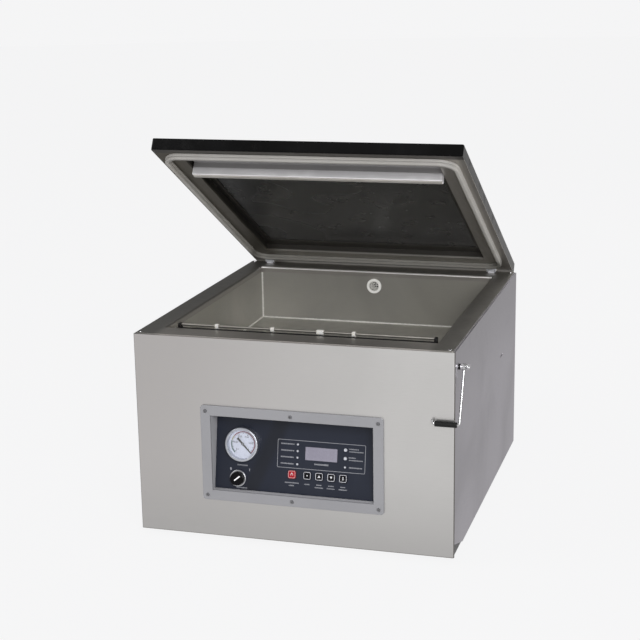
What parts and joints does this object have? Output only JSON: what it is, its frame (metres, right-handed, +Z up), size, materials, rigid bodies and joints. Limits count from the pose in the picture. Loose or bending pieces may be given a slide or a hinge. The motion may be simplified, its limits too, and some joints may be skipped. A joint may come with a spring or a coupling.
{
  "type": "vacuum chamber sealer",
  "caption": "Table-top stainless vacuum chamber sealer with hinged lid, sealing bars, bag clips, hold-down latch and a recessed control panel with gauge, selector and keys.",
  "frame": {"origin": "centre of the base plate's underside, 10 mm above the floor the feet stand on", "axes": "+X to the operator's right along the sealing bars, +Y to the back where the lid is hinged, +Z up"},
  "size_m": [0.5162, 0.5936, 0.6143],
  "materials": {
    "case_steel": "brushed, satin",
    "deck_steel": "brushed, satin, darker grain",
    "chamber_steel": "brushed, satin, with weld seams",
    "black_paint": "satin paint",
    "rubber_black": "matte",
    "bright_steel": "polished",
    "hinge_steel": "satin",
    "lid_steel": "satin",
    "aluminium_bar": "extruded, satin",
    "lid_black": "gloss",
    "smoked_pane": "smoked, clear",
    "silicone_grey": "satin silicone",
    "white_nylon": "satin",
    "ptfe_tan": "woven PTFE-coated glass cloth",
    "heater_alloy": "bright strip",
    "frame_silver": "silver paint, satin",
    "panel_slate": "satin overlay",
    "display_grey": "display lens",
    "led_lens": "translucent lens",
    "board_green": "solder mask",
    "button_red": "satin",
    "button_black": "satin",
    "dial_white": "printed card",
    "clear_glass": "clear",
    "needle_black": "satin",
    "selector_ring": "satin",
    "knob_black": "satin",
    "cylinder_aluminium": "turned",
    "motor_grey": "painted casting",
    "transformer_iron": "lacquered laminations",
    "valve_brass": "satin",
    "hose_rubber": "matte"
  },
  "bodies": {
    "cabinet": {"bag_rail": "rubber_black", "bag_rod": "bright_steel", "base_plate": "black_paint", "case_rivets": "bright_steel", "chamber_tub": "chamber_steel", "control_board": "board_green", "control_frame": "frame_silver", "control_panel": "panel_slate", "display_module": "display_grey", "feet": "rubber_black", "frame_screws": "bright_steel", "front_panel": "case_steel", "gauge_case": "bright_steel", "gauge_dial": "dial_white", "gauge_glass": "clear_glass", "hinge_blocks": "hinge_steel", "hinge_pins": "bright_steel", "indicator_leds": "led_lens", "latch_nut": "bright_steel", "latch_stud": "bright_steel", "latch_washer": "rubber_black", "left_side_panel": "case_steel", "lift_cylinders": "cylinder_aluminium", "power_inlet": "knob_black", "pump_motor": "motor_grey", "rear_panel": "case_steel", "right_side_panel": "case_steel", "selector_switch": "selector_ring", "solenoid_valves": "valve_brass", "top_deck": "deck_steel", "transformer": "transformer_iron", "vacuum_hoses": "hose_rubber", "vacuum_port": "white_nylon", "vacuum_pump": "black_paint"},
    "lid": {"lid_shell": "lid_black", "lid_window": "smoked_pane", "lid_flange": "lid_steel", "lid_gasket": "silicone_grey", "bar_holder": "lid_steel", "pressure_bar": "aluminium_bar", "silicone_strip": "silicone_grey", "hinge_leaves": "hinge_steel", "lid_springs": "bright_steel"},
    "latch": {"latch_arm": "bright_steel", "latch_grip": "rubber_black"},
    "sealing_bar": {"seal_bar": "aluminium_bar", "heating_band": "heater_alloy", "ptfe_cover": "ptfe_tan", "lift_pistons": "cylinder_aluminium"},
    "needle": {"gauge_needle": "needle_black"},
    "selector": {"selector_knob": "knob_black"},
    "clip_left": {"bag_clip_left": "white_nylon"},
    "clip_centre_left": {"bag_clip_centre_left": "white_nylon"},
    "clip_centre_right": {"bag_clip_centre_right": "white_nylon"},
    "clip_right": {"bag_clip_right": "white_nylon"},
    "stop_button": {"stop_button": "button_red"},
    "set_button": {"set_button": "button_black"},
    "up_button": {"up_button": "button_black"},
    "down_button": {"down_button": "button_black"},
    "select_button": {"select_button": "button_black"}
  },
  "joints": [
    {"name": "lid_hinge", "type": "hinge", "parent": "cabinet", "child": "lid", "pos_m": [0, 0.264, 0.3232], "axis": [1, 0, 0], "range_deg": [0, 29.35], "stiffness_Nm_per_rad": 12, "springref_deg": -108.86, "deforming": ["lid_springs"]},
    {"name": "latch_swing", "type": "hinge", "parent": "cabinet", "child": "latch", "pos_m": [0.2578, -0.25, 0.288], "axis": [-1, 0, 0], "range_deg": [0, 193.8]},
    {"name": "bar_lift", "type": "slide", "parent": "cabinet", "child": "sealing_bar", "axis": [0, 0, 1], "range_m": [0, 0.0143]},
    {"name": "needle_turn", "type": "hinge", "parent": "cabinet", "child": "needle", "pos_m": [-0.084, -0.26168, 0.14613], "axis": [0, -0.9833, 0.1822], "range_deg": [0, 270], "stiffness_Nm_per_rad": 0.0002, "springref_deg": -28.65},
    {"name": "selector_turn", "type": "hinge", "parent": "cabinet", "child": "selector", "pos_m": [-0.0907, -0.27151, 0.09313], "axis": [0, -0.9833, 0.1822], "range_deg": [0, 90]},
    {"name": "clip_left_slide", "type": "slide", "parent": "cabinet", "child": "clip_left", "axis": [1, 0, 0], "range_m": [-0.018, 0.018]},
    {"name": "clip_centre_left_slide", "type": "slide", "parent": "cabinet", "child": "clip_centre_left", "axis": [1, 0, 0], "range_m": [-0.018, 0.018]},
    {"name": "clip_centre_right_slide", "type": "slide", "parent": "cabinet", "child": "clip_centre_right", "axis": [1, 0, 0], "range_m": [-0.018, 0.018]},
    {"name": "clip_right_slide", "type": "slide", "parent": "cabinet", "child": "clip_right", "axis": [1, 0, 0], "range_m": [-0.018, 0.018]},
    {"name": "stop_press", "type": "slide", "parent": "cabinet", "child": "stop_button", "axis": [0, 0.9833, -0.1822], "range_m": [0, 0.0012], "stiffness_N_per_m": 400, "springref_m": -0.001},
    {"name": "set_press", "type": "slide", "parent": "cabinet", "child": "set_button", "axis": [0, 0.9833, -0.1822], "range_m": [0, 0.0012], "stiffness_N_per_m": 400, "springref_m": -0.001},
    {"name": "up_press", "type": "slide", "parent": "cabinet", "child": "up_button", "axis": [0, 0.9833, -0.1822], "range_m": [0, 0.0012], "stiffness_N_per_m": 400, "springref_m": -0.001},
    {"name": "down_press", "type": "slide", "parent": "cabinet", "child": "down_button", "axis": [0, 0.9833, -0.1822], "range_m": [0, 0.0012], "stiffness_N_per_m": 400, "springref_m": -0.001},
    {"name": "select_press", "type": "slide", "parent": "cabinet", "child": "select_button", "axis": [0, 0.9833, -0.1822], "range_m": [0, 0.0012], "stiffness_N_per_m": 400, "springref_m": -0.001}
  ]
}
